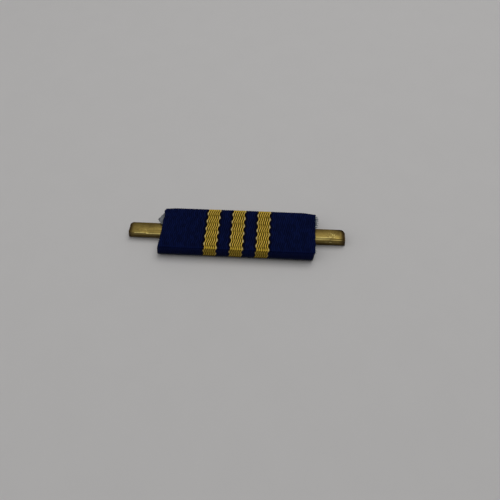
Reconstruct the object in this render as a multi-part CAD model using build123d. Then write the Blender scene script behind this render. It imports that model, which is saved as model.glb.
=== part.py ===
from build123d import *
import os

# A medal ribbon bar lying on its back, face up: a striped ribbon folded round a stiff
# backing strip and a pressed brass bar, whose two ends stand out past the ribbon.
# X runs along the bar, Y across it towards its upper edge when worn, Z out of its face.
# The origin is under the middle of the bar, on the plane that the folded ribbon rests on.
# Lengths are in millimetres.

# The ribbon, a full-size one: its own width lies along the bar.
RIBBON_WIDTH = 32.0
RIBBON_THICKNESS = 0.5
RIBBON_SHIFT = 0.55  # from the middle of the bar, along X
BLOCK_DEPTH = 10.2  # over both folds, along Y
FOLD_INNER_RADIUS = 0.25
LOWER_CORNER_RADIUS = 0.8  # where the selvedges draw in under the folds
FLAP_GAP = 0.35  # between the end of a flap and the bar

# The backing strip that keeps the ribbon square.
STIFFENER_THICKNESS = 0.6
STIFFENER_INSET = 0.4  # behind the ribbon's selvedges
PIECE_GAP = 0.05  # between the strip and what it lies against

# The corner of the strip that shows past the left selvedge, as points (past it, Y).
LIP_THICKNESS = 0.3
LIP_CORNERS = [(0.15, 3.95), (1.15, 2.4), (0.25, 1.3)]

# The pressed bar, an upturned channel with closed ends, open at the back.
BAR_LENGTH = 45.8
BAR_WIDTH = 2.75
BAR_HEIGHT = 2.0
BAR_WALL = 0.4
BAR_SHIFT = 0.57  # from the middle of the ribbon, along Y
BAR_CORNER_RADIUS = 0.2  # inside, seen from above
BAR_EDGE_RADIUS = 0.1  # inside, between the face and the sides

# The pin that lies in the channel, with one end turned up to the face.
PIN_DIAMETER = 0.8
PIN_LENGTH = 38.0
PIN_POINT = 2.5
PIN_HEIGHT = 0.75  # of its middle above the rest plane

BLOCK_HEIGHT = BAR_HEIGHT + PIECE_GAP + STIFFENER_THICKNESS + PIECE_GAP + RIBBON_THICKNESS


def channel_section(depth, height, radius, bottom):
    """A rectangle with rounded corners across the bar, standing from bottom to height."""
    outline = RectangleRounded(depth, height - bottom, radius)
    return Plane.YZ * (Pos(0, (height + bottom) / 2) * outline)


def ribbon():
    """The ribbon folded over the front and back edges, with both ends turned under."""
    fold = FOLD_INNER_RADIUS + RIBBON_THICKNESS
    inner_depth = BLOCK_DEPTH - 2 * RIBBON_THICKNESS
    inner_top = BLOCK_HEIGHT - RIBBON_THICKNESS
    outer = extrude(channel_section(BLOCK_DEPTH, BLOCK_HEIGHT, fold, 0), RIBBON_WIDTH / 2, both=True)
    hollow = channel_section(inner_depth, inner_top, FOLD_INNER_RADIUS, RIBBON_THICKNESS)
    inner = extrude(hollow, RIBBON_WIDTH, both=True)
    mouth_width = BAR_WIDTH + 2 * FLAP_GAP
    mouth = Pos(0, BAR_SHIFT, RIBBON_THICKNESS / 2) * Box(2 * RIBBON_WIDTH, mouth_width, 2 * RIBBON_THICKNESS)
    front = Pos(0, BLOCK_HEIGHT / 2) * Rectangle(RIBBON_WIDTH, BLOCK_HEIGHT)
    lower = front.vertices().sort_by(Axis.Y)[:2]
    drawn_in = extrude(Plane.XZ * fillet(lower, LOWER_CORNER_RADIUS), BLOCK_DEPTH, both=True)
    return Pos(RIBBON_SHIFT, 0, 0) * ((outer - inner - mouth) & drawn_in)


def lip():
    """The corner of the strip that reaches past the left selvedge."""
    inside = STIFFENER_INSET + STIFFENER_THICKNESS - RIBBON_WIDTH / 2
    shown = [(-RIBBON_WIDTH / 2 - past, y) for past, y in LIP_CORNERS]
    corners = [(inside, shown[0][1])] + shown + [(inside, shown[-1][1])]
    outline = make_face(Polyline(corners, close=True))
    top = BLOCK_HEIGHT - RIBBON_THICKNESS - PIECE_GAP
    return Pos(0, 0, top - LIP_THICKNESS) * extrude(outline, LIP_THICKNESS, dir=(0, 0, 1))


def stiffener():
    """The backing strip: a flat top with a turned-down side inside each fold."""
    length = RIBBON_WIDTH - 2 * STIFFENER_INSET
    depth = BLOCK_DEPTH - 2 * (RIBBON_THICKNESS + PIECE_GAP)
    top = BLOCK_HEIGHT - RIBBON_THICKNESS - PIECE_GAP
    foot = RIBBON_THICKNESS + PIECE_GAP
    outer = extrude(channel_section(depth, top, FOLD_INNER_RADIUS - PIECE_GAP, foot), length / 2, both=True)
    under = top - STIFFENER_THICKNESS
    hollow = Pos(0, 0, under / 2) * Box(2 * length, depth - 2 * STIFFENER_THICKNESS, under)
    return Pos(RIBBON_SHIFT, 0, 0) * (outer - hollow + lip())


def rounded_block(length, width, height, corner, edge):
    """A block with rounded corners seen from above and a rounded edge round its top."""
    block = extrude(RectangleRounded(length, width, corner), height)
    rim = block.faces().sort_by(Axis.Z)[-1].edges()
    return fillet(rim, edge)


def mounting_bar():
    """The brass bar, pressed from sheet: closed at both ends and hollow from behind."""
    outer = rounded_block(
        BAR_LENGTH, BAR_WIDTH, BAR_HEIGHT, BAR_CORNER_RADIUS + BAR_WALL, BAR_EDGE_RADIUS + BAR_WALL
    )
    inner_length = BAR_LENGTH - 2 * BAR_WALL
    inner_width = BAR_WIDTH - 2 * BAR_WALL
    inner_height = BAR_HEIGHT - BAR_WALL
    inner = rounded_block(inner_length, inner_width, inner_height, BAR_CORNER_RADIUS, BAR_EDGE_RADIUS)
    return Pos(0, BAR_SHIFT, 0) * (outer - inner)


def brooch_pin():
    """A straight pin along the channel, its left end turned up against the bar's face."""
    radius = PIN_DIAMETER / 2
    shank_length = PIN_LENGTH - PIN_POINT
    shank = Pos(-PIN_LENGTH / 2, 0, PIN_HEIGHT) * extrude(Plane.YZ * Circle(radius), shank_length)
    point = Pos(PIN_LENGTH / 2 - PIN_POINT / 2, 0, PIN_HEIGHT) * (Rot(0, 90, 0) * Cone(radius, radius / 5, PIN_POINT))
    bend = Pos(-PIN_LENGTH / 2, 0, PIN_HEIGHT) * Sphere(radius)
    leg_height = BAR_HEIGHT - BAR_WALL - PIN_HEIGHT
    leg = Pos(-PIN_LENGTH / 2, 0, PIN_HEIGHT) * extrude(Circle(radius), leg_height)
    return Pos(0, BAR_SHIFT, 0) * (shank + point + bend + leg)


os.makedirs("parts", exist_ok=True)
export_step(ribbon(), "parts/ribbon.step")
export_step(stiffener(), "parts/stiffener.step")
export_step(mounting_bar(), "parts/mounting_bar.step")
export_step(brooch_pin(), "parts/brooch_pin.step")
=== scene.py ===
"""A medal ribbon bar: its cloth, brass and backing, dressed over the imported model."""

import math
from functools import partialmethod, reduce

import bpy
import numpy as np
from bpy.props import FloatProperty, FloatVectorProperty, IntProperty, PointerProperty
from mathutils import Matrix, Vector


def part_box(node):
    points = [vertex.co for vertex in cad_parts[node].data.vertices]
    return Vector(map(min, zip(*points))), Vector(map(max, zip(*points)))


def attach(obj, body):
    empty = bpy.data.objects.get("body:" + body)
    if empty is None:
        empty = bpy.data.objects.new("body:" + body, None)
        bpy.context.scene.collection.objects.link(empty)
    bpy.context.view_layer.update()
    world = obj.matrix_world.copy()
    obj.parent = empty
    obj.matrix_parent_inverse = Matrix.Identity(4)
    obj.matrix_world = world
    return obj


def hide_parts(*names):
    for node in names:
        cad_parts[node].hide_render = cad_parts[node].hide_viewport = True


bl_info = {
    "name": "Ribbon Bar",
    "version": (1, 0, 0),
    "blender": (4, 5, 0),
    "location": "View3D > Sidebar > Ribbon Bar",
    "description": "Makes a striped medal ribbon folded over a brass bar",
    "category": "Add Mesh",
}

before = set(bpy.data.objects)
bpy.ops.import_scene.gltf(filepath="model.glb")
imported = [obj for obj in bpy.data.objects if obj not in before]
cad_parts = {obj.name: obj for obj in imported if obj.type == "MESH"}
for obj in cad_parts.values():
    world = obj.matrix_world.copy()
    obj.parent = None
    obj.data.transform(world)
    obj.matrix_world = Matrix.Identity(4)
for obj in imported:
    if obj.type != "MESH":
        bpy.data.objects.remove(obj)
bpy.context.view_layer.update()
RIBBON_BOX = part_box("ribbon")
BAR_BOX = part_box("mounting_bar")
STRIP_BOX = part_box("stiffener")
MM = 0.001
FULL_TURN = 2 * math.pi


def middle(box, axis):
    """The middle of a node's box along one axis, in metres."""
    return (box[0][axis] + box[1][axis]) / 2


def extent(box, axis):
    """The length of a node's box along one axis, in metres."""
    return box[1][axis] - box[0][axis]


def metres(name, description, default):
    """A length in metres that a user may change."""
    return FloatProperty(name=name, description=description, default=default, unit="LENGTH", precision=6)


def tint(name, description, default):
    """A colour that a user may change."""
    return FloatVectorProperty(name=name, description=description, default=default, subtype="COLOR", size=3)


class RibbonSizes(bpy.types.PropertyGroup):
    """The ribbon's fold, weave and colours."""

    thickness: metres("Thickness", "Thickness of the cloth", 0.00045)
    crease: metres("Crease", "Outer radius of the two upper folds", 0.0003)
    sole: metres("Sole", "Outer radius of the two lower folds", 0.00072)
    draw_in: metres("Draw in", "Radius by which the left selvedge draws in under the folds", 0.0008)
    flap_gap: metres("Flap gap", "Gap between a flap's end and the bar", 0.00035)
    columns: IntProperty(name="Columns", description="Raised columns of thread across the ribbon", default=72)
    wave_length: metres("Wave length", "Length of one wave of a column", 0.001905)
    wave_height: metres("Wave height", "Sideways reach of a wave", 0.000118)
    relief: metres("Relief", "Depth between two columns", 0.00011)
    lean: metres("Lean", "How far the threads lean over the front wall", 0.0004)
    fray: metres("Fray", "Longest reach of a loose thread", 0.00085)
    fray_thickness: metres("Fray thickness", "Thickness of a loose thread", 0.000028)
    ground: tint("Ground", "Colour of the ground", (0.0022, 0.0054, 0.0365))
    stripe: tint("Stripe", "Colour of the stripes", (0.276, 0.185, 0.0135))


class BackingSizes(bpy.types.PropertyGroup):
    """The backing strip and the corner of it that shows."""

    thickness: metres("Thickness", "Thickness of the folded strip", 0.0006)
    inset: metres("Inset", "Distance of its ends behind the selvedges", 0.0004)
    gauze: tint("Gauze", "Colour of the gauze", (0.182, 0.195, 0.210))


class BarSizes(bpy.types.PropertyGroup):
    """The brass bar's section and colours."""

    wall: metres("Wall", "Thickness of the sheet", 0.0004)
    shoulder: metres("Shoulder", "Radius between face and sides", 0.00012)
    crown: metres("Crown", "Drop of the face from its middle to its sides", 0.00006)
    brass: tint("Brass", "Colour of the worn metal", (0.34, 0.25, 0.067))
    # Also the colour of the painted shade on the rim and on the far right corner.
    tarnish: tint("Tarnish", "Colour of the tarnish", (0.060, 0.034, 0.012))


class StageSizes(bpy.types.PropertyGroup):
    """The floor, the light and the camera."""

    floor: tint("Floor", "Colour of the floor", (0.62, 0.61, 0.607))
    key_power: FloatProperty(name="Key power", description="Power of the overhead lamp", default=1.01, unit="POWER")
    side_power: FloatProperty(name="Side power", description="Power of the side lamp", default=0.58, unit="POWER")
    surround: FloatProperty(name="Surround", description="Strength of the grey surround", default=0.257)


def mesh_object(name, points, faces, smooth=True):
    """Puts arrays of points and of four-cornered or mixed faces into a new object."""
    mesh = bpy.data.meshes.new(name)
    mesh.from_pydata(points.reshape(-1, 3), [], faces)
    mesh.validate()
    mesh.polygons.foreach_set("use_smooth", np.full(len(mesh.polygons), smooth))
    mesh.update()
    piece = bpy.data.objects.new(name, mesh)
    bpy.context.scene.collection.objects.link(piece)
    return piece


def point_vectors(piece, name, columns):
    """Stores three columns of numbers with the points of a piece, for its material to read."""
    stored = piece.data.attributes.new(name, "FLOAT_VECTOR", "POINT")
    stored.data.foreach_set("vector", np.stack(np.broadcast_arrays(*columns), -1).astype(np.float32).ravel())


def tube_faces(rings, around):
    """The faces of a grid of rings, closed round each ring, as an array of corners."""
    i, j = np.meshgrid(np.arange(rings - 1), np.arange(around), indexing="ij")
    k = (j + 1) % around
    faces = np.stack([i * around + j, i * around + k, (i + 1) * around + k, (i + 1) * around + j], axis=-1)
    return faces.reshape(-1, 4)


def smooth_step(value, low, high):
    """0 below low, 1 above high, and a smooth cubic between."""
    t = np.clip((value - low) / (high - low), 0, 1)
    return t * t * (3 - 2 * t)


def bell(value, peak, reach):
    """A Gaussian of value: 1 at its peak and 1 / e at its reach to either side."""
    return np.exp(-(((value - peak) / reach) ** 2))


class Value:
    """A value in a shader. Signs between values and numbers make maths nodes, so that a formula reads as one."""

    def __init__(self, tree, socket):
        self.tree, self.socket = tree, socket

    def made(self, kind, links, output=0, **settings):
        """An output of a new node in this value's tree."""
        return shader_value(self.tree, kind, links, output, **settings)

    def maths(self, operation, *others):
        """What one maths node makes of this value and others."""
        return self.made("ShaderNodeMath", dict(enumerate((self, *others))), operation=operation)

    __add__ = partialmethod(maths, "ADD")
    __sub__ = partialmethod(maths, "SUBTRACT")
    __mul__ = partialmethod(maths, "MULTIPLY")
    __truediv__ = partialmethod(maths, "DIVIDE")
    __neg__ = partialmethod(maths, "MULTIPLY", -1.0)
    __abs__ = partialmethod(maths, "ABSOLUTE")

    def most(self, *others):
        """The greatest of this value and others."""
        return reduce(lambda first, second: first.maths("MAXIMUM", second), others, self)

    def bell(self):
        """A Gaussian: e to the power of minus the square of this value."""
        return (-(self * self)).maths("EXPONENT")

    def ramp(self, low, high, start=0.0, end=1.0, smooth=True):
        """start where this value is at low, end where it is at high, and a smooth or straight way between."""
        links = {"Value": self, "From Min": low, "From Max": high, "To Min": start, "To Max": end}
        kind = "SMOOTHSTEP" if smooth else "LINEAR"
        return self.made("ShaderNodeMapRange", links, "Result", interpolation_type=kind)

    def parts(self):
        """The three numbers of this place or vector."""
        split = self.made("ShaderNodeSeparateXYZ", {0: self}).socket.node
        return [Value(self.tree, socket) for socket in split.outputs]

    def noise(self, scale, detail, roughness, stretch=None):
        """Noise on this place, whose three directions stretch may scale first."""
        place = self if stretch is None else self.made("ShaderNodeMapping", {"Vector": self, "Scale": stretch})
        links = {"Vector": place, "Scale": scale, "Detail": detail, "Roughness": roughness}
        return self.made("ShaderNodeTexNoise", links, "Fac")

    def blend(self, first, second):
        """The colour that goes from first, where this value is 0, to second, where it is 1."""
        factor, from_colour, to_colour, mixed = 0, 6, 7, 2
        links = {factor: self, from_colour: colour(first), to_colour: colour(second)}
        return self.made("ShaderNodeMix", links, mixed, data_type="RGBA")

    def bump(self, strength, distance):
        """Normals that follow this height."""
        return self.made("ShaderNodeBump", {"Height": self, "Strength": strength, "Distance": distance})


def colour(value):
    """A plain colour with full alpha, or a value as it is."""
    return value if isinstance(value, Value) else (*value, 1.0)


def plug(socket, value):
    """Links a value to a socket, or sets the socket to a plain number or colour."""
    if isinstance(value, Value):
        value.tree.links.new(value.socket, socket)
    else:
        socket.default_value = value


def shader_value(tree, kind, links=None, output=0, **settings):
    """An output of a new shader node with its settings, and its inputs plugged in."""
    made = tree.nodes.new(kind)
    for key, setting in settings.items():
        setattr(made, key, setting)
    for key, value in (links or {}).items():
        plug(made.inputs[key], value)
    return Value(tree, made.outputs[output])


def object_place(tree):
    """Where a point lies, in metres, in the frame that all pieces share."""
    return shader_value(tree, "ShaderNodeTexCoord", output="Object")


def stored_place(tree, name):
    """The numbers that point_vectors stored with the points."""
    return shader_value(tree, "ShaderNodeAttribute", output="Vector", attribute_name=name)


def material(name):
    """A new node material and its tree."""
    made = bpy.data.materials.new(name)
    made.use_nodes = True
    return made, made.node_tree


def finish(made, base, **inputs):
    """Plugs a material's base colour and the inputs named, with _ for a space, into its shader."""
    shader = made.node_tree.nodes["Principled BSDF"]
    plug(shader.inputs["Base Color"], base)
    for key, value in inputs.items():
        plug(shader.inputs[key.replace("_", " ")], value)
    return made


def patch(x, y, at, reach):
    """A soft round or long patch: a Gaussian of the distance from a point, by its own reach in X and in Y."""
    return ((x - at[0]) / reach[0]).bell() * ((y - at[1]) / reach[1]).bell()


def streak(x, y, span, line, width, strength, slope=0.0):
    """A soft straight streak: a Gaussian of the distance in Y from a sloping line, over one span of X."""
    soft = 0.00015
    away = (y - ((x - span[0]) * slope + line)) / width
    begin = x.ramp(span[0] - soft, span[0] + soft, 0.0, strength)
    return away.bell() * begin * x.ramp(span[1] - soft, span[1] + soft, 1.0, 0.0)


def set_up(name, data, axes, spot):
    """Puts a lamp or a camera into the scene at a spot, turned to its own three axes."""
    holder = bpy.data.objects.new(name, data)
    holder.matrix_world = Matrix.Translation(spot.tolist()) @ Matrix(np.column_stack(axes).tolist()).to_4x4()
    bpy.context.scene.collection.objects.link(holder)
    return holder


def rounded_line(corners, radii):
    """A line through corners in the plane across the bar, each bend rounded by its own radius.

    Runs are straight and bent in turn. A straight run is start + share * way. A bend is centre + radius * out,
    where out = way before * sin(a) - way after * cos(a) and a grows from 0 to a quarter turn with the share.
    Returns the length of every run, and a function of run and share that gives the place and the way out.
    """
    corners = np.array(corners, float)
    ways = np.diff(corners, axis=0)
    lengths = np.linalg.norm(ways, axis=1)
    ways = ways / lengths[:, None]
    radii = np.concatenate([[0.0], radii, [0.0]])
    starts = corners[:-1] + ways * radii[:-1, None]
    straight = lengths - radii[:-1] - radii[1:]
    centres = corners[1:-1] + (ways[1:] - ways[:-1]) * radii[1:-1, None]
    runs = np.empty(2 * len(ways) - 1)
    runs[0::2] = straight
    runs[1::2] = radii[1:-1] * math.pi / 2

    def at(run, share):
        leg = run // 2
        bent = (run % 2 == 1)[:, None]
        turn = share[:, None] * math.pi / 2
        before = ways[leg]
        after = ways[np.minimum(leg + 1, len(ways) - 1)]
        middles = centres[np.minimum(leg, len(centres) - 1)]
        side = np.stack([-before[:, 1], before[:, 0]], axis=-1)
        out = np.where(bent, before * np.sin(turn) - after * np.cos(turn), side)
        level = starts[leg] + before * (share * straight[leg])[:, None]
        return np.where(bent, middles + out * radii[leg + 1][:, None], level), out

    return runs, at


def stations(steps):
    """The run of every row and its share of that run, for a number of steps on each run, and the last run's end."""
    run = np.concatenate([np.repeat(np.arange(len(steps)), steps), [len(steps) - 1]])
    return run, np.concatenate([np.arange(n) / n for n in steps] + [[1.0]])


def folded_section(sizes, inset, crease, sole):
    """The line that one face of the ribbon follows across the bar, inset from the outer one.

    It runs from the front flap's end along the floor, up the front, over the top, down the back and along
    the floor again to the back flap's end, with the sole radius below and the crease radius above.
    """
    front, back, top = RIBBON_BOX[0][1] + inset, RIBBON_BOX[1][1] - inset, RIBBON_BOX[1][2] - inset
    first, last = BAR_BOX[0][1] - sizes.flap_gap, BAR_BOX[1][1] + sizes.flap_gap
    corners = [(first, inset), (front, inset), (front, top), (back, top), (back, inset), (last, inset)]
    return rounded_line(corners, [sole, crease, crease, sole])


def column_gap(across, along, sizes, width):
    """How deep the cloth lies, from a crown of a column at -3/8 to an open gap between columns at 5/8.

    Across, it is the squared half cosine of the phase, 1 midway between columns, less its mean of 3/8. Along, it
    is strongest where the columns turn, twice in each wave, and a quarter of that between the turns.
    """
    between = (0.5 + 0.5 * np.cos((across / width + 0.5) * sizes.columns * FULL_TURN)) ** 2
    turn = np.cos(FULL_TURN * along / sizes.wave_length) ** 2
    return (between - 3 / 8) * (1 / 4 + 3 / 4 * turn)


class RIBBONBAR_OT_ribbon(bpy.types.Operator):
    """Makes the woven ribbon, folded over the bar with both ends turned under"""

    bl_idname = "ribbonbar.ribbon"
    bl_label = "Ribbon"

    # Steps across the outer face, the inner face and round a selvedge, and the rows' spacing on each run.
    fine, coarse, edge = 432, 24, 5
    spacing = (0.00018, 0.00012, 0.00011, 0.00007, 0.000105, 0.00008, 0.00012, 0.00013, 0.00018)

    # What differs between the two colours of thread.
    # crown and gap colour a painted highlight on the columns' crowns and painted shade between them. The entries
    # after lustre paint a highlight before each fold, a shade line past it and light on the wall, and at the foot
    # shade on the stripes and grey dust on the ground.
    finishes = {
        "ground_threads": dict(
            contrast=0.30, spread=0.34, clouds=0.45, gap=(0.1, 0.1, 0.1), crown=(1.7, 1.7, 1.7), lustre=0.02,
            fold_highlight=1.2, crease_shade=0.1, paler=0.8, dust_and_shade=(0.5, 0.55, (0.047, 0.053, 0.067)),
        ),
        "stripe_threads": dict(
            contrast=1.0, spread=0.36, clouds=0.5, gap=(0.10, 0.07, 0.0), crown=(2.55, 2.55, 4.6), lustre=0.10,
            fold_highlight=2.0, crease_shade=0.45, paler=0.45, dust_and_shade=(0.3, 0.92, (0.006, 0.005, 0.004)),
        ),
    }
    # Colours of the painted highlight on a stripe's outer bulges and of the painted shade on the ground beside a
    # stripe.
    pale_bead, black_thread = (0.56, 0.49, 0.30), (0.0012, 0.0006, 0.0010)

    def execute(self, context):
        """The cloth is a grid of rows along its folded line, with u from -1 to 1 across it.

        Each row is a ring whose angle is 0 on the outer face, a half turn on the inner one, and between them round
        the selvedges. The columns swing sideways by a cosine of the length along, and stand out by column_gap.
        """
        sizes = context.scene.ribbon_bar_ribbon
        width, thick = extent(RIBBON_BOX, 0), sizes.thickness
        tightest, floor_gap, roundness, calm = 0.00004, 0.00001, 0.22, 0.8
        runs, outer_at = folded_section(sizes, 0.0, sizes.crease, sizes.sole)
        inner_radii = max(sizes.crease - thick, tightest), sizes.sole - thick
        _, inner_at = folded_section(sizes, thick, *inner_radii)
        run, share = stations(np.maximum(np.ceil(runs / np.array(self.spacing)).astype(int), 1))
        marks = np.concatenate([[0], np.cumsum(runs)])
        along = (marks[run] + share * runs[run] - (marks[4] + marks[5]) / 2)[:, None]
        (outer, out), (inner, _) = outer_at(run, share), inner_at(run, share)

        turn = (np.arange(self.edge) + 1) / (self.edge + 1) * math.pi
        flat = np.linspace(-1, 1, self.fine + 1)
        back = np.linspace(1, -1, self.coarse + 1)
        u = np.concatenate([flat, np.ones(self.edge), back, -np.ones(self.edge)])
        angle = np.concatenate([0 * flat, turn, 0 * back + math.pi, turn + math.pi])
        deep, puff, face = 0.5 - 0.5 * np.cos(angle), np.sin(angle), (angle == 0) * 1.0

        y = outer[:, :1] + (inner - outer)[:, :1] * deep
        z = outer[:, 1:] + (inner - outer)[:, 1:] * deep
        across = np.broadcast_to(u * width / 2, y.shape)
        over = np.clip(z / RIBBON_BOX[1][2], 0, 1)
        place = y / extent(RIBBON_BOX, 1)
        wave = -sizes.wave_height * np.cos(FULL_TURN * along / sizes.wave_length)
        wave = wave * (1 - calm * smooth_step(np.abs(u), 0.985, 1.0)) * (deep < 0.99)
        x = self.sideways(u, along, z, over, place, sizes) + wave + puff * thick * roundness
        lift = -floor_gap * face - sizes.relief * column_gap(across, along, sizes, width) * face
        stray_y, stray_z = self.stray(u, over, place)
        y = y + out[:, :1] * lift + stray_y
        z = np.maximum(z + out[:, 1:] * lift + stray_z, floor_gap)
        points = np.stack([x + middle(RIBBON_BOX, 0), y, z], axis=-1)

        faces = tube_faces(len(run), len(u)).tolist()
        faces += self.end_faces(0, True) + self.end_faces((len(run) - 1) * len(u), False)
        piece = mesh_object("ribbon_cloth", points, faces)
        point_vectors(piece, "threads", (across / MM, along / MM, face))
        half_top = runs[4] / 2
        folds = (half_top + runs[3] / 2) / MM, (half_top + runs[3] + runs[2]) / MM
        for name in self.finishes:
            piece.data.materials.append(self.threads(name, sizes, folds))
        self.stripe(piece, u, len(run) - 1)
        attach(piece, "root")
        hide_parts("ribbon")
        return {"FINISHED"}

    def sideways(self, u, along, z, over, place, sizes):
        """Where the threads lie along the bar, from the ribbon's middle, before they swing.

        It is u times the half width, which a quarter circle draws in under the folds, and which the weft's loops
        ripple at the very edge by a sine of the length along. The front wall leans to the left towards its foot.
        The corners are pulled by the 12th power of u times the cube of the place across the bar. The top of the
        left selvedge is shifted, less two bells of that place.
        """
        right_share, upright, pull = 0.65, 0.35, 0.0013
        inset, loop_height, loop_length = 0.00008, 0.00004, 0.00047
        draw_in = sizes.draw_in * np.where(u > 0, right_share, 1.0)
        arc = np.sqrt(np.clip(draw_in**2 - np.clip(draw_in - z, 0, None) ** 2, 0, None))
        loop = loop_height * np.abs(np.sin(math.pi * along / loop_length)) * (np.abs(u) == 1)
        half = extent(RIBBON_BOX, 0) / 2 - draw_in + arc - inset + loop
        lean = sizes.lean * (along < 0) * (1 - over) * (1 - upright * np.clip(u, 0, 1) ** 8)
        shift = 0.00012 - 0.00010 * bell(place, 0.17, 0.07) - 0.00034 * bell(place, 0.425, 0.055)
        shift = shift * smooth_step(over, 0.4, 0.9) * smooth_step(-u, 0.93, 1.0)
        return u * half - lean + pull * np.abs(u) ** 12 * place**3 + shift

    def stray(self, u, over, place):
        """How far the cloth strays from the block that it is folded on, across the bar and upwards.

        Towards the far fold it bows out, less by the square of u, and its corners lie further in and lower. The
        top buckles by a sine of u times a cosine of the place across the bar.
        """
        bow, bow_loss, buckle = 0.00006, 0.00004, 0.00003
        corner_in, corner_tilt, corner_down = 0.00013, 0.00006, 0.00012
        far = smooth_step(place, 0.0, 0.5)
        corner = smooth_step(np.abs(u), 0.84, 1.0)
        out = far * (bow - bow_loss * u**2 - corner * (corner_in + corner_tilt * u))
        up = buckle * over * np.sin(8 * u + 2.2) * np.cos(math.pi * place)
        return out, up - far * over * corner * corner_down

    def end_faces(self, first, turned):
        """Faces that close one end of the cloth: a strip between its outer and inner rows, and one at each edge."""
        step = self.fine // self.coarse
        back = self.fine + self.edge + 1
        close = back + self.coarse
        made = [[*range(step * k, step * (k + 1) + 1), close - k - 1, close - k] for k in range(self.coarse)]
        made += [[*range(self.fine, back + 1)], [*range(close, close + self.edge + 1), 0]]
        made = [[first + corner for corner in face] for face in made]
        return [face[::-1] for face in made] if turned else made

    def stripe(self, piece, u, rows):
        """Gives the second material to three stripes, each a twelfth of the width, a twelfth apart."""
        at_face = np.abs((u + np.roll(u, -1)) / 2) * 6
        gold = (at_face < 0.5) | ((at_face > 1.5) & (at_face < 2.5))
        index = np.zeros(len(piece.data.polygons), np.int32)
        index[: rows * len(u)] = np.tile(gold, rows)
        piece.data.polygons.foreach_set("material_index", index)

    def threads(self, name, sizes, folds):
        """Ribbed silk threads of one colour, on the piece's own coordinates across and along the cloth.

        The light on a column is -cos(a) * d, where a turns once a column from 0 between two of them: a painted
        highlight on the crowns and painted shade in the gaps. Here d is 0.27 + 0.75 * |cos(w)|^1.6 + 0.2 * sin(w),
        where w turns once a wave, times 0.5 to 1.5 by chance for each half wave of each column. The outermost
        column of a stripe has a painted highlight where it bulges outwards, and the ground beside it has painted
        shade, nearly black. A painted highlight runs before each fold and a painted shade line just past it; the
        wall is paler, a painted light, and at its foot painted shade darkens the stripes while grey dust covers the
        ground.
        """
        look = self.finishes[name]
        golden = name == "stripe_threads"
        made, tree = material(name)
        read = stored_place(tree, "threads")
        across, along, _ = read.parts()
        pitch = extent(RIBBON_BOX, 0) / MM / sizes.columns
        wave = along * (FULL_TURN * MM / sizes.wave_length)
        swing, leg = wave.maths("COSINE"), wave.maths("SINE")
        depth = abs(swing).maths("POWER", 1.6) * 0.75 + leg * 0.2 + 0.27
        column = (across / pitch).maths("FLOOR")
        row = (along / (sizes.wave_length / MM / 2)).maths("FLOOR")
        cell = shader_value(tree, "ShaderNodeCombineXYZ", {0: column, 1: row})
        chance = cell.made("ShaderNodeTexWhiteNoise", {"Vector": cell}, "Color", noise_dimensions="2D")
        shade, loose, _ = chance.parts()
        light = -((across * (FULL_TURN / pitch)).maths("COSINE") * depth * (loose + 0.5))

        tone = np.array(sizes.stripe if golden else sizes.ground)
        contrast, spread = look["contrast"], look["spread"]
        mixed = shade * 0.5 + read.noise(1.7, 3.0, 0.65) * look["clouds"]
        worn = mixed.ramp(0.2, 0.9).blend(tone * (1 - spread), tone * (1 + spread))
        # From here on worn also takes painted light: a painted highlight on the columns' crowns and painted shade
        # in the gaps between them.
        worn = light.ramp(0.0, 0.44, 0.0, contrast).blend(worn, tone * look["crown"])
        worn = light.ramp(0.05, -0.26, 0.0, contrast).blend(worn, tone * look["gap"])

        band = 6 * pitch  # the width of a stripe
        place = (across + band).maths("FLOORED_MODULO", 2 * band) - band
        out = abs(place) / pitch  # columns from the middle of the nearest stripe
        if golden:
            # A painted highlight where the outermost column of a stripe bulges outwards.
            bulge = -(place.maths("SIGN") * swing)
            worn = (bulge.ramp(0.0, 1.0) * out.ramp(2.2, 2.8, 0.0, 0.65)).blend(worn, self.pale_bead)
        else:
            # Painted shade, nearly black, on the ground beside a stripe, as if cast by its raised edge column.
            near = abs(across).ramp(3 * band, 3.2 * band, 1.0, 0.0)
            worn = (near * out.ramp(3.3, 4.2, 0.9, 0.0)).blend(worn, self.black_thread)

        away = abs(along)
        crease, foot = folds
        # A painted highlight along the top just before each fold.
        worn = abs(away - (crease - 0.22)).ramp(0.02, 0.22, 0.75, 0.0).blend(worn, tone * look["fold_highlight"])
        # A painted shade line on the wall just past each fold.
        worn = abs(away - (crease + 0.26)).ramp(0.05, 0.3, look["crease_shade"], 0.0).blend(worn, tone * 0.3)
        # The walls are painted paler: painted light, strongest just below the fold and fading towards the foot.
        wall = away.ramp(crease, crease + 0.3) * away.ramp(crease, foot, look["paler"], 0.2)
        worn = wall.blend(worn, tone * 1.8)
        # Towards the foot the stripes darken with painted shade where the cloth turns under to the floor, and the
        # ground greys with dust.
        reach, strength, dust_and_shade = look["dust_and_shade"]
        foot_dust_and_shade = away.ramp(foot - reach, foot + 0.1, 0.0, strength) * away.ramp(foot + 0.6, foot + 1.3, 1.0, 0.0)
        worn = foot_dust_and_shade.blend(worn, dust_and_shade)

        ribs = (across * (FULL_TURN * 5 / pitch)).maths("SINE")
        weft = (along * (FULL_TURN / 0.236)).maths("SINE")
        return finish(
            made,
            worn,
            Normal=(ribs * 0.25 + weft * 0.4).bump(0.5, 0.00002),
            Roughness=light.ramp(-1.0, 1.0, 0.9, 0.5),
            Specular_IOR_Level=look["lustre"],
        )


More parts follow.
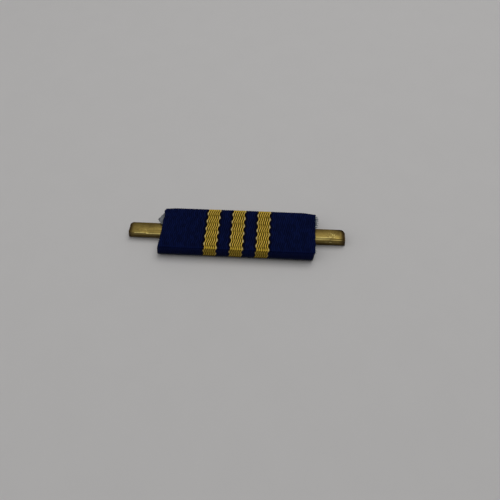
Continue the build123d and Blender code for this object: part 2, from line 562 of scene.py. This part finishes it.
class RIBBONBAR_OT_frays(bpy.types.Operator):
    """Makes the loose silk threads that stand out past the right selvedge"""

    bl_idname = "ribbonbar.frays"
    bl_label = "Loose threads"

    # Each patch of threads: how many, from and to in Y, and its share of the reach.
    patches = ((86, 0.0014, 0.0043, 1.0), (16, -0.0049, -0.0028, 0.4))
    stations, around = 13, 6

    def execute(self, context):
        """Each thread is a loop: out past the edge by reach * sin(pi t) while it runs along it, and sagging.

        Its frame is the way along the loop, the level way across that, and the way out of both.
        """
        sizes = context.scene.ribbon_bar_ribbon
        root, least, run, depth = 0.00018, 0.00012, 0.0009, 0.00016
        depth_spread, rise, fall = 0.0003, 0.00012, 0.0004
        chance = np.random.default_rng(5)
        low, high, most = (np.concatenate([np.full(p[0], p[k]) for p in self.patches])[:, None] for k in (1, 2, 3))
        count = len(low)
        t = np.linspace(0, 1, self.stations)
        bow = np.sin(math.pi * t)
        start, drift, size, sag, level = (chance.uniform(0, 1, (count, 1)) for _ in range(5))
        reach = least + sizes.fray * (0.25 + 0.75 * size**1.5) * most
        x = RIBBON_BOX[1][0] - root + reach * bow
        y = low + (high - low) * start + (drift - 0.5) * run * (t - 0.3 * bow)
        z = RIBBON_BOX[1][2] - depth - depth_spread * level + (rise - fall * sag) * bow**2
        line = np.stack([x, y, z], -1)
        way = np.gradient(line, axis=1)
        way = way / np.linalg.norm(way, axis=-1, keepdims=True)
        side = np.cross(way, [0.0, 0.0, 1.0])
        side = side / np.linalg.norm(side, axis=-1, keepdims=True)
        up = np.cross(side, way)
        angle = np.arange(self.around) * FULL_TURN / self.around
        ring = side[:, :, None] * np.cos(angle)[:, None] + up[:, :, None] * np.sin(angle)[:, None]
        points = line[:, :, None] + ring * sizes.fray_thickness / 2
        each = self.stations * self.around
        starts = np.arange(count)[:, None] * each
        one = tube_faces(self.stations, self.around)[:, ::-1]
        cap = np.arange(self.around)
        faces = (one[None] + starts[:, None]).reshape(-1, 4).tolist()
        faces += (cap + starts).tolist() + (cap[::-1] + starts + each - self.around).tolist()
        piece = mesh_object("loose_threads", points, faces)
        piece.data.materials.append(self.silk(sizes))
        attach(piece, "root")
        return {"FINISHED"}

    def silk(self, sizes):
        """Loose filaments of the ground silk, paler where they are spread."""
        made, tree = material("loose_silk")
        tone = np.array(sizes.ground)
        cloud = object_place(tree).noise(3000.0, 3.0, 0.6)
        mixed = cloud.ramp(0.35, 0.65).blend(tone * (9, 10, 2.4), tone * (18, 17, 4))
        return finish(made, mixed, Roughness=0.7, Specular_IOR_Level=0.2)


class RIBBONBAR_OT_backing(bpy.types.Operator):
    """Makes the backing strip inside the ribbon, with the corner that shows past the left selvedge"""

    bl_idname = "ribbonbar.backing"
    bl_label = "Backing strip"

    # The corner that shows, as places in Y and how far it reaches past the selvedge there.
    tongue = ((0.00110, 0.00030), (0.00235, 0.00128), (0.00400, 0.00020))
    steps, rings = (10, 4, 90, 4, 10), 121
    outer_radius, inner_radius = 0.0002, 0.00005

    def execute(self, context):
        """The strip is a channel's section carried along the bar, its left end torn to the tongue's outline.

        The stations lie closer together at the left by the power 1.6. Past the selvedge the upper face curls down
        by the square of the distance and crumples by a sine, and the lower one nears it to half the thickness.
        """
        sizes = context.scene.ribbon_bar_backing
        thick = sizes.thickness
        curl_depth, curl_reach, crumple = 0.00012, 0.00115, 0.00003
        (_, front, foot), (_, back, top) = STRIP_BOX
        along = np.linspace(0, 1, self.rings) ** 1.6
        start, end = RIBBON_BOX[0][0], RIBBON_BOX[1][0] - sizes.inset
        sides = []
        for inset, radius in ((0.0, self.outer_radius), (thick, self.inner_radius)):
            high = top - inset
            corners = [(front + inset, foot), (front + inset, high), (back - inset, high), (back - inset, foot)]
            line = rounded_line(corners, [radius, radius])[1](*stations(self.steps))[0]
            y, z = line[:, :1], line[:, 1:]
            reach = np.interp(y, [t[0] for t in self.tongue], [t[1] for t in self.tongue], left=0, right=0)
            reach = reach * (z > top - thick * 1.01)
            ragged = 0.00005 * np.sin(y * 9100) + 0.00004 * np.sin(y * 23300 + 1)
            left = start + sizes.inset * (reach == 0) - reach + ragged
            x = left + (end - left) * along
            past = np.clip(start - x, 0, None) / curl_reach
            loose = smooth_step(start + 0.0006 - x, 0, 0.0006)
            curl = curl_depth * past**2 + crumple * np.sin(x * 7000 + y * 5000) * loose
            sides.append(np.stack([x, y + 0 * x, z - np.abs(curl) * (inset == 0)], -1))
        outer, inner = sides
        thin = smooth_step(start - outer[..., 0], -0.0003, 0.0003)[..., None] * 0.5
        inner = inner + (outer - inner) * thin
        ring = np.concatenate([outer, inner[::-1]], axis=0).transpose(1, 0, 2)
        around = ring.shape[1]
        faces = tube_faces(len(ring), around)[:, ::-1].tolist()
        i = np.arange(around // 2 - 1)
        cap = np.stack([i, i + 1, around - 2 - i, around - 1 - i], -1)
        faces += cap[:, ::-1].tolist() + (cap + (len(ring) - 1) * around).tolist()
        piece = mesh_object("backing_strip", ring, faces)
        piece.data.materials.append(self.gauze(sizes))
        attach(piece, "root")
        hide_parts("stiffener")
        return {"FINISHED"}

    def gauze(self, sizes):
        """Stiffened grey gauze: a fine open grid of threads, cloudy and matte, with a dark knot at its tip."""
        made, tree = material("stiff_gauze")
        place = object_place(tree)
        x, y, _ = place.parts()
        mesh_size = 0.00022
        warp, weft = ((way * (FULL_TURN / mesh_size)).maths("SINE") for way in (x, y))
        grid = warp * weft * 0.5 + 0.5
        cloud = place.noise(1400.0, 3.0, 0.6)
        tone = np.array(sizes.gauze)
        full = cloud.ramp(0.3, 0.7).blend(tone * 0.62, tone * 1.3)
        full = (grid * 0.4).blend(full, tone * 0.35)
        tip_y, tip_reach = self.tongue[1]
        knot = patch(x, y, (RIBBON_BOX[0][0] - tip_reach, tip_y), (0.00028, 0.00022)) * 0.9
        full = knot.blend(full, tone * 0.12)
        return finish(
            made,
            full,
            Normal=(grid * -0.6 + cloud).bump(0.6, 0.00006),
            Roughness=cloud.ramp(0.3, 0.7, 0.6, 0.85),
            Specular_IOR_Level=0.2,
        )


class RIBBONBAR_OT_bar(bpy.types.Operator):
    """Makes the pressed brass bar, closed at both ends and open at the back"""

    bl_idname = "ribbonbar.bar"
    bl_label = "Brass bar"

    # Radii of the corners, anticlockwise from the front right one, and points on a corner, an end and a long side.
    corners = (0.00022, 0.00095, 0.0006, 0.00022)
    arc, end, long = 9, 15, 150

    # Each dent: its place in X and Y, its reach in X and Y, and its depth.
    dents = (
        (-0.02010, -0.00005, 0.00032, 0.00016, 0.00005),
        (-0.01935, -0.00045, 0.00030, 0.00016, 0.00002),
        (-0.01860, -0.00070, 0.00022, 0.00020, 0.00003),
        (0.01960, 0.00060, 0.00040, 0.00030, 0.000015),
        (0.02000, -0.00010, 0.00030, 0.00020, 0.00002),
        (0.02065, 0.00035, 0.00025, 0.00035, 0.000015),
    )

    # Each streak or stain: its span of X, its line in Y, its width and strength, and the slope if it has one.
    streaks = (
        ((-0.0213, -0.0203), -0.00094, 0.00008, 1.0),
        ((-0.0203, -0.0192), -0.00094, 0.00008, 0.75),
        ((-0.0189, -0.0150), -0.00096, 0.00010, 1.0),
        ((-0.0193, -0.0187), -0.00004, 0.00004, 0.25, -0.53),
        ((0.0150, 0.0176), -0.00029, 0.00007, 0.25),
        ((0.0176, 0.0196), -0.00029, 0.00007, 0.42),
        ((0.0150, 0.0196), -0.00058, 0.00020, 0.20),
        ((0.0150, 0.0182), -0.00080, 0.00006, 0.25),
        ((0.0198, 0.0221), -0.00082, 0.00005, 0.2),
    )
    stains = (
        ((0.0198, 0.0222), -0.00060, 0.00009, 0.75),
        # This stain darkens the right tab's far rim: tarnish, and painted shade where the rim turns from the light.
        ((0.0198, 0.0229), 0.00180, 0.00032, 1.0),
        ((-0.0198, -0.0185), -0.00035, 0.00030, 0.4),
    )
    # The scratches on the front wall, which have their line in Z.
    scratches = (((0.0187, 0.0192), 0.00122, 0.00008, 0.5), ((0.0196, 0.0201), 0.00118, 0.00009, 1.0))
    # The scuffed patch and the darkened far right corner, painted shade where the corner rounds away from the
    # light: place, reach and strength.
    scuff = ((0.0201, 0.00015), (0.0007, 0.0006), 0.6)
    dust_and_shade = ((0.0222, 0.0017), (0.0010, 0.0006), 0.9)

    def execute(self, context):
        """The bar is nested outlines seen from above, each at its own height, from the rim up and back down."""
        sizes = context.scene.ribbon_bar_bar
        half = np.array([extent(BAR_BOX, 0), extent(BAR_BOX, 1)]) / 2
        high = BAR_BOX[1][2]
        levels, first = self.section(half[1], high, sizes.wall, sizes.shoulder)
        flat = self.loops(half, levels[:, 0])
        x, y = flat[..., 0], flat[..., 1]
        z = levels[:, 1:2] - levels[:, 2:] * self.face_drop(x, y, half, sizes)
        x, y, z = self.bend(x, y, z, half, high, sizes.wall)
        points = np.stack([x + middle(BAR_BOX, 0), y + middle(BAR_BOX, 1), z], -1)
        around, count = points.shape[1], len(levels)
        faces = tube_faces(count + 1, around) % (count * around)
        level = np.arange(len(faces)) // around
        faces = faces[level != first - 1].tolist()
        faces += self.middle_faces((first - 1) * around, False) + self.middle_faces(first * around, True)
        piece = mesh_object("brass_bar", points, faces)
        point_vectors(piece, "rim", (levels[:, :1] / MM, (high - levels[:, 1:2]) / MM, 0 * x))
        piece.data.materials.append(self.worn_brass(sizes))
        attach(piece, "root")
        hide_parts("mounting_bar")
        return {"FINISHED"}

    def section(self, reach, high, wall, shoulder):
        """The bar's section as rows of inset, height and share of the face's drop, from its rim up and back down.

        It goes up the outside, round the shoulder's quarter circle and in along the face to the middle, then back
        out under the face and down the inside to the rim, whose two edges are rounded too.
        """
        lip, inner, clear = 0.00006, 0.0001, 0.00005
        deep, under = reach - 0.00004, high - wall
        turn = np.linspace(0, math.pi / 2, 4)
        bend = np.linspace(0, math.pi / 2, 7)
        sine, cosine = np.sin(bend), np.cos(bend)
        outer_rise = np.linspace(0.0002, high - shoulder - clear, 8)
        inner_fall = np.linspace(under - 2 * inner, inner, 6)
        outer_share, inner_share = (0.5 * (rise / (high - shoulder)) ** 2 for rise in (outer_rise, inner_fall))
        outline = [
            (wall / 2, 0.0, 0),
            *zip(lip - lip * np.sin(turn), lip - lip * np.cos(turn), np.zeros(4)),
            *zip(np.zeros(8), outer_rise, outer_share),
            *zip(shoulder * (1 - cosine), high - shoulder * (1 - sine), 0.5 + 0.5 * sine**2),
            *zip(np.linspace(shoulder + clear, deep, 22), np.full(22, high), np.ones(22)),
        ]
        inside = [
            *zip(np.linspace(deep, wall + inner, 8), np.full(8, under), np.ones(8)),
            *zip(wall + inner * (1 - sine), under - inner * (1 - cosine), 0.7 + 0.3 * cosine**2),
            *zip(np.full(6, wall), inner_fall, inner_share),
            *zip(wall - lip + lip * np.cos(turn), lip - lip * np.sin(turn), np.zeros(4)),
        ]
        return np.array(outline + inside), len(outline)

    def loops(self, half, inset):
        """Rounded rectangles inset from the bar's outline, anticlockwise from above, one row for each inset.

        A corner is centre + r * (cos a, sin a), with r the corner's radius less the inset. A side is a straight
        line between two corners, and a long one's points lie closer at the bar's ends, by t - 0.13 * sin(2 pi t).
        """
        inset = inset[:, None]
        long_share = np.arange(1, self.long + 1) / (self.long + 1)
        long_share = long_share - 0.13 * np.sin(FULL_TURN * long_share)
        end_share = np.arange(1, self.end + 1) / (self.end + 1)
        arcs = []
        for k, (side_x, side_y) in enumerate(((1, -1), (1, 1), (-1, 1), (-1, -1))):
            radius = np.maximum(self.corners[k] - inset, 0.00002)
            angle = np.linspace(0, math.pi / 2, self.arc)[None] + (k - 1) * math.pi / 2
            x = side_x * (half[0] - inset - radius) + radius * np.cos(angle)
            y = side_y * (half[1] - inset - radius) + radius * np.sin(angle)
            arcs.append(np.stack([x, y], -1))
        parts = []
        for k, share in enumerate((end_share, long_share, end_share, long_share)):
            here, there = arcs[k][:, -1:], arcs[(k + 1) % 4][:, :1]
            parts += [arcs[k], here + (there - here) * share[None, :, None]]
        return np.concatenate(parts, axis=1)

    def face_drop(self, x, y, half, sizes):
        """How far the face lies below its highest line, from a crown, worn-down edges and a few small dents.

        The crown is the square of the distance across, taken 12 per cent nearer the front, on a slightly uneven
        face. The left tab lies lower, and more so by smooth steps towards its front and its far edge. The right
        one slopes down in front of a line, by 0.38 in its inner part and by 0.5 in its outer part, where a groove
        follows the edge. The ends drop by the square of a smooth step. A dent is a Gaussian of the distance from
        its middle, at its own two widths.
        """
        uneven, left_down, far_edge, groove, end_down = 0.000008, 0.00016, 0.00009, 0.00005, 0.00024
        drop = sizes.crown * (y / half[1] + 0.12) ** 2 + uneven * (1 + np.sin(x * 900 + 0.6) * np.cos(y * 1500))
        left, right = smooth_step(-x, 0.0145, 0.0155), smooth_step(x, 0.0145, 0.0155)
        sunken = 0.00015 * smooth_step(-y, -0.0002, 0.0008) + 0.00009 * smooth_step(-y, 0.0005, 0.0008)
        drop += left * (left_down + sunken * smooth_step(x, -0.0204, -0.0181))
        drop += left * far_edge * smooth_step(y, 0.0006, 0.0013)
        inner_right = right * smooth_step(-x, -0.0200, -0.0193)
        outer_right = right - inner_right
        drop += inner_right * 0.38 * np.clip(-0.00080 - y, 0, None)
        drop += outer_right * (0.5 * np.clip(-0.00105 - y, 0, None) + groove * bell(y, -0.00113, 0.00009))
        drop += end_down * smooth_step(np.abs(x), half[0] - 0.0010, half[0] - 0.0001) ** 2
        for at_x, at_y, wide, deep, depth in self.dents:
            drop += depth * bell(x, at_x, wide) * bell(y + middle(BAR_BOX, 1), at_y, deep)
        return drop

    def bend(self, x, y, z, half, high, wall):
        """Bends the tabs: nearer the viewer, off the floor, and flared at the foot and tapered at the ends.

        The stray grows by a smooth step of the distance from the middle, to 0.3 of itself at the right. The lift
        is whole up to 0.6 of the height and 0.6 at the top. The left front edge is pushed out with the height.
        """
        nearer, lifted, right_share, flare, taper, skew = 0.00016, 0.00025, 0.3, 0.00012, 0.00030, 0.00009
        strayed = smooth_step(-x, 0.0125, 0.0155) + right_share * smooth_step(x, 0.0125, 0.0155)
        pushed = 0.00007 * smooth_step(x, -0.0220, -0.0210) + 0.00005 * smooth_step(x, -0.0200, -0.0186)
        pushed = pushed * smooth_step(-y, 0.0007, 0.0012) * smooth_step(-x, 0.0140, 0.0150)
        y = y - nearer * strayed - pushed * z / high
        z = z + lifted * strayed * np.clip(1.6 - z / high, 0, 1)
        near_end = smooth_step(np.abs(x), half[0] - 0.0015, half[0] - wall)
        return x + near_end * (np.sign(x) * flare - (taper * np.sign(x) - skew) * z / high), y, z

    def middle_faces(self, start, turned):
        """Faces that close the narrowest loop: a ladder between its long sides and one face at each end."""
        short = 2 * self.arc + self.end
        ring = start + np.arange(2 * (short + self.long))
        right, back, left, front = np.split(ring, np.cumsum([short, self.long, short]))
        back = back[::-1]
        made = np.stack([front[:-1], front[1:], back[1:], back[:-1]], -1).tolist()
        made += [[*front[-1:], *right, *back[-1:]], [*back[:1], *left, *front[:1]]]
        return [face[::-1] for face in made] if turned else made

    def worn_brass(self, sizes):
        """Worn brass: tarnish in clouds and round the rim, where it is partly painted shade, scratches lengthwise,
        bright streaks on the worn edges.

        The tarnish is the greatest of a cloud that grows to the right and to the far side, the stains, and ramps
        at the bar's ends, along its far edge and down its sides. Towards the far side, at the ends, on the far rim
        and towards the foot of the sides this darkening is also painted shade, and a patch paints shade on the far
        right corner. The metal is bright in the streaks, in the scratches on the front wall and in the scuff, a
        Gaussian patch broken up by fine noise.
        """
        made, tree = material("worn_brass")
        place = object_place(tree)
        x, y, z = place.parts()
        clouds = place.noise(420.0, 3.0, 0.6)
        grain = place.noise(2600.0, 4.0, 0.65)
        lines = place.noise(1.0, 3.0, 0.7, stretch=(500.0, 9000.0, 2500.0))
        pits = place.noise(5200.0, 2.0, 0.5)
        rim, below, _ = stored_place(tree, "rim").parts()  # mm from the outline and below the face
        half, top = BAR_BOX[1][0], BAR_BOX[1][2]
        # The ends, the far rim and the foot of the sides darken: tarnish, and painted shade where the metal turns
        # from the light.
        end = abs(x).ramp(half - 0.0018, half - 0.0004, smooth=False)
        far = rim.ramp(0.40, 0.15) * y.ramp(-0.0003, 0.0003, 0.0, 0.75)
        low = (z + x.ramp(-0.015, 0.015, -0.0004, 0.0)).ramp(top - 0.0007, top - 0.0014, 0.0, 0.75)
        edge = end.most(far, low) * grain.ramp(0.2, 0.6, 0.75, 1.0)
        dull = x.ramp(-0.016, 0.0165, 0.09, 0.33) + x.ramp(0.0193, 0.0213, 0.0, -0.12)
        dull = dull * below.ramp(0.1, 0.4, 1.0, 0.5) + clouds.ramp(0.40, 0.75, 0.0, 0.3)
        # Duller towards the far side: tarnish, and painted shade where the crowned face falls away from the light.
        dull = dull + y.ramp(-0.0002, 0.0017, 0.0, 0.32)
        dull = dull.most(edge, *(streak(x, y, *stain) for stain in self.stains))

        brass, tarnish = np.array(sizes.brass), np.array(sizes.tarnish)
        tone = grain.ramp(0.3, 0.7).blend(brass * 0.85, brass * 1.15)
        tone = lines.ramp(0.60, 0.72, 0.0, 0.45).blend(tone, brass * (1.6, 1.7, 2.4))
        tone = dull.blend(tone, tarnish)
        tone = pits.ramp(0.66, 0.78, 0.0, 0.8).blend(tone, tarnish * 0.6)
        # A patch of painted shade darkens the far right corner, where it rounds away from the light.
        at, reach, strength = self.dust_and_shade
        tone = (patch(x, y, at, reach) * strength).blend(tone, tarnish * 0.3)

        first, *others = (streak(x, y, *mark) for mark in self.streaks)
        bright = first.most(*others) * grain.ramp(0.25, 0.55, 0.6, 1.0) * below.ramp(0.10, 0.24, 1.0, 0.0)
        at, reach, strength = self.scuff
        broken = place.noise(3300.0, 3.0, 0.6).ramp(0.48, 0.62, 0.0, strength)
        scratches = (streak(x, z, *mark) for mark in self.scratches)
        bright = bright.most(*scratches, patch(x, y, at, reach) * broken)
        tone = bright.blend(tone, np.minimum(brass * (2.9, 3.4, 5.0), 1.0))
        rough = dull.ramp(0.0, 1.0, 0.42, 0.6) + lines.ramp(0.4, 0.8, 0.0, 0.08) - bright * 0.08
        height = lines * 0.5 + grain * 0.5
        return finish(made, tone, Roughness=rough, Metallic=1.0, Normal=height.bump(0.25, 0.00003))


class RIBBONBAR_OT_pin(bpy.types.Operator):
    """Dresses the pin that lies in the bar's channel in drawn brass wire"""

    bl_idname = "ribbonbar.pin"
    bl_label = "Pin"

    def execute(self, context):
        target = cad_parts["brooch_pin"]
        target.data.materials.clear()
        target.data.materials.append(self.wire(context.scene.ribbon_bar_bar))
        return {"FINISHED"}

    def wire(self, sizes):
        """Drawn wire: lengthwise die lines, cloudy tarnish and a brighter point."""
        made, tree = material("drawn_wire")
        place = object_place(tree)
        lines = place.noise(1.0, 3.0, 0.7, stretch=(120.0, 9000.0, 9000.0))
        clouds = place.noise(700.0, 4.0, 0.6)
        brass = np.array(sizes.brass) * (1.5, 1.55, 1.8)
        tone = clouds.ramp(0.35, 0.75, 0.0, 0.6).blend(brass, sizes.tarnish)
        tone = lines.ramp(0.55, 0.8, 0.0, 0.4).blend(tone, brass * 1.25)
        tone = place.parts()[0].ramp(0.0165, 0.019, 0.0, 0.6).blend(tone, brass * 1.3)
        rough = lines.ramp(0.3, 0.8, 0.25, 0.42)
        return finish(made, tone, Roughness=rough, Metallic=1.0, Normal=lines.bump(0.3, 0.00003))


class RIBBONBAR_OT_stage(bpy.types.Operator):
    """Makes the floor, the soft light and the camera"""

    bl_idname = "ribbonbar.stage"
    bl_label = "Stage"

    floor_reach, floor_level = 1.5, -0.000005

    # Each lamp: its name, its tilt from overhead, its turn from +X and the half angle that it fills, in degrees.
    overhead = "overhead_lamp", 21.4, 54, 20.7
    left_hand = "side_lamp", 47.7, 197, 33.6
    lamp_distance, lamp_colour, surround_colour = 0.5, (1.0, 0.995, 0.985), (0.98, 0.99, 1.0)

    # The camera: yaw, pitch and roll in degrees, its aim on the floor and its distance from that in mm.
    angles, aim, distance = (-5.3565, 57.0046, -2.0272), (2.6578, -2.8458), 90.153
    sensor, lens_share = 36.0, 430.0 / 500.0

    def execute(self, context):
        sizes = context.scene.ribbon_bar_stage
        self.floor(sizes)
        self.lights(context.scene, sizes)
        self.camera(context.scene)
        return {"FINISHED"}

    def floor(self, sizes):
        """A flat square just under the object."""
        corners = np.array([(-1, -1, 0), (1, -1, 0), (1, 1, 0), (-1, 1, 0)]) * self.floor_reach
        piece = mesh_object("floor", corners + (0, 0, self.floor_level), [[0, 1, 2, 3]], smooth=False)
        made, tree = material("pale_floor")
        uneven = object_place(tree).noise(120.0, 4.0, 0.6)
        tone = np.array(sizes.floor)
        mixed = uneven.ramp(0.3, 0.7).blend(tone * 0.994, tone * 1.006)
        piece.data.materials.append(finish(made, mixed, Roughness=0.75, Specular_IOR_Level=0.2))

    def lamp(self, power, name, tilt, turn, spread):
        """A round soft lamp, tilted from overhead towards a turn from +X, facing the object.

        Its radius is the distance times the tangent of the half angle that it fills.
        """
        tilt, turn, far = math.radians(tilt), math.radians(turn), self.lamp_distance
        data = bpy.data.lights.new(name, "AREA")
        data.shape = "DISK"
        data.size = 2 * far * math.tan(math.radians(spread))
        data.energy = power
        data.color = self.lamp_colour
        z_axis = np.array([math.sin(tilt) * math.cos(turn), math.sin(tilt) * math.sin(turn), math.cos(tilt)])
        x_axis = np.cross([0, 1, 0], z_axis)
        x_axis = x_axis / np.linalg.norm(x_axis)
        set_up(name, data, [x_axis, np.cross(z_axis, x_axis), z_axis], z_axis * far)

    def lights(self, scene, sizes):
        """Two soft lamps in an even grey surround that gives no light from where the viewer stands."""
        self.lamp(sizes.key_power, *self.overhead)
        self.lamp(sizes.side_power, *self.left_hand)
        world = bpy.data.worlds.new("surround")
        scene.world = world
        world.use_nodes = True
        tree = world.node_tree
        way = shader_value(tree, "ShaderNodeTexCoord", output="Generated")
        seen = shader_value(tree, "ShaderNodeLightPath", output="Is Camera Ray")
        background = tree.nodes["Background"].inputs
        plug(background["Color"], colour(self.surround_colour))
        plug(background["Strength"], way.parts()[1].ramp(-0.61, -0.31).most(seen) * sizes.surround)
        scene.view_settings.view_transform = "Standard"

    def camera(self, scene):
        """A camera aimed by yaw, pitch and roll at a point on the floor, from a distance straight back."""
        yaw, pitch, roll = (math.radians(angle) for angle in self.angles)
        ahead = np.array([math.sin(yaw) * math.cos(pitch), math.cos(yaw) * math.cos(pitch), -math.sin(pitch)])
        right = np.array([math.cos(yaw), -math.sin(yaw), 0.0])
        up = np.cross(right, ahead)
        right, up = right * math.cos(roll) + up * math.sin(roll), up * math.cos(roll) - right * math.sin(roll)
        aim = np.array([self.aim[0] * MM + middle(RIBBON_BOX, 0), self.aim[1] * MM, 0.0])
        spot = aim - ahead * self.distance * MM
        data = bpy.data.cameras.new("camera")
        data.sensor_width = self.sensor
        data.lens = self.sensor * self.lens_share
        data.clip_start = 0.001
        data.clip_end = 10.0
        scene.camera = set_up("camera", data, [right, up, -ahead], spot)


class RIBBONBAR_PT_panel(bpy.types.Panel):
    """Lists the steps that make the ribbon bar"""

    bl_idname = "RIBBONBAR_PT_panel"
    bl_label = "Ribbon Bar"
    bl_space_type = "VIEW_3D"
    bl_region_type = "UI"
    bl_category = "Ribbon Bar"

    def draw(self, context):
        for operator in OPERATORS:
            self.layout.operator(operator.bl_idname)


OPERATORS = (
    RIBBONBAR_OT_stage,
    RIBBONBAR_OT_ribbon,
    RIBBONBAR_OT_frays,
    RIBBONBAR_OT_backing,
    RIBBONBAR_OT_bar,
    RIBBONBAR_OT_pin,
)
GROUPS = {
    "ribbon_bar_ribbon": RibbonSizes,
    "ribbon_bar_backing": BackingSizes,
    "ribbon_bar_bar": BarSizes,
    "ribbon_bar_stage": StageSizes,
}


def register():
    """Registers the property groups, the operators and the panel."""
    for made in (*GROUPS.values(), *OPERATORS, RIBBONBAR_PT_panel):
        bpy.utils.register_class(made)
    for name, group in GROUPS.items():
        setattr(bpy.types.Scene, name, PointerProperty(type=group))


def unregister():
    """Removes what register added."""
    for name in GROUPS:
        delattr(bpy.types.Scene, name)
    for made in (RIBBONBAR_PT_panel, *OPERATORS, *GROUPS.values()):
        bpy.utils.unregister_class(made)


def main():
    register()
    bpy.ops.ribbonbar.stage()
    bpy.ops.ribbonbar.ribbon()
    bpy.ops.ribbonbar.frays()
    bpy.ops.ribbonbar.backing()
    bpy.ops.ribbonbar.bar()
    bpy.ops.ribbonbar.pin()


if __name__ == "__main__":
    main()
